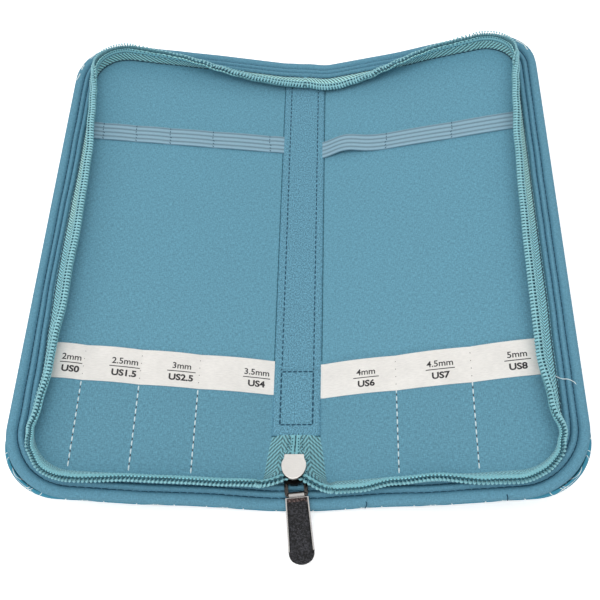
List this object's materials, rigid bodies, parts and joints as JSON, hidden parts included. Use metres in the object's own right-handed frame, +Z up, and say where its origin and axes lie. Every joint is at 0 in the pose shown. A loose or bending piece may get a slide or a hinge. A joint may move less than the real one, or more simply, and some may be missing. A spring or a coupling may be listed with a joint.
{
  "type": "knitting needle case",
  "caption": "Padded zip-round case that opens like a book, with elastics and stitched pockets for double-pointed knitting needles.",
  "frame": {"origin": "middle of the spine's underside, on the table", "axes": "+Y along the spine away from the zip pull, +X to the right, +Z up"},
  "size_m": [0.2182, 0.2502, 0.0325],
  "materials": {
    "printed_cloth": "woven polyester cover cloth, mid teal, with a fine white wave print",
    "foam": "thin foam padding, hidden",
    "board": "thin stiffening board, hidden",
    "lining_cloth": "smooth dull teal woven lining",
    "binding_cloth": "smooth teal binding cloth with two rows of stitching",
    "label_ribbon": "white twill ribbon printed with plain sizes",
    "elastic": "ribbed grey-teal elastic",
    "suede_strip": "suede-like teal strip",
    "zip_coil": "teal nylon coil",
    "zip_tape": "herringbone woven tape, green teal",
    "slider_metal": "bright nickel plate",
    "dark_metal": "dark nickel plate",
    "black_leather": "black pebbled leather"
  },
  "bodies": {
    "spine": {"spine_cover": "printed_cloth", "spine_padding": "foam", "spine_board": "board", "spine_lining": "lining_cloth", "spine_binding_front": "binding_cloth", "spine_binding_back": "binding_cloth", "spine_strip": "suede_strip", "spine_end_tab": "suede_strip", "zip_tape_top": "zip_tape", "zip_coil_top": "zip_coil", "zip_tape_anchor": "zip_tape"},
    "left_cover": {"left_cover": "printed_cloth", "left_padding": "foam", "left_board": "board", "left_lining": "lining_cloth", "left_binding": "binding_cloth", "left_zip_tape": "zip_tape", "left_zip_coil": "zip_coil", "left_pocket": "lining_cloth", "left_label_ribbon": "label_ribbon", "left_elastic": "elastic"},
    "right_cover": {"right_cover": "printed_cloth", "right_padding": "foam", "right_board": "board", "right_lining": "lining_cloth", "right_binding": "binding_cloth", "right_zip_tape": "zip_tape", "right_zip_coil": "zip_coil", "right_pocket": "lining_cloth", "right_label_ribbon": "label_ribbon", "right_elastic": "elastic"},
    "chain_end": {"chain_tape": "zip_tape", "chain_coil": "zip_coil"},
    "slider": {"slider_body": "slider_metal", "slider_bail": "dark_metal"},
    "pull_ring": {"pull_ring": "dark_metal"},
    "pull_tab": {"pull_rim": "dark_metal", "pull_leather": "black_leather"}
  },
  "joints": [
    {"name": "left_cover_fold", "type": "hinge", "parent": "spine", "child": "left_cover", "pos_m": [-0.0092, 0, 0.0044], "axis": [0, 1, 0], "range_deg": [0, 77.6]},
    {"name": "right_cover_fold", "type": "hinge", "parent": "spine", "child": "right_cover", "pos_m": [0.0092, 0, 0.0044], "axis": [0, -1, 0], "range_deg": [0, 77.6]},
    {"name": "chain_turn", "type": "hinge", "parent": "spine", "child": "chain_end", "pos_m": [0, -0.09923, 0.01536], "axis": [-1, 0, 0], "range_deg": [0, 79]},
    {"name": "slider_run", "type": "slide", "parent": "chain_end", "child": "slider", "axis": [0, -0.9816, 0.1908], "range_m": [0, 0.06]},
    {"name": "ring_hang", "type": "hinge", "parent": "slider", "child": "pull_ring", "pos_m": [0.0004, -0.10359, 0.00625], "axis": [0.9945, 0.1045, 0], "range_deg": [0, 155]},
    {"name": "tab_lift", "type": "hinge", "parent": "pull_ring", "child": "pull_tab", "pos_m": [0.00102, -0.10946, 0.00625], "axis": [-0.9945, -0.1045, 0], "range_deg": [0, 100]}
  ],
  "couplings": [
    {"joint": "right_cover_fold", "follows": "left_cover_fold", "ratio": 1},
    {"joint": "chain_turn", "follows": "left_cover_fold", "ratio": 1.018},
    {"joint": "slider_run", "follows": "left_cover_fold", "m_per_rad": 0.044301},
    {"joint": "ring_hang", "follows": "left_cover_fold", "ratio": 1.9974}
  ]
}
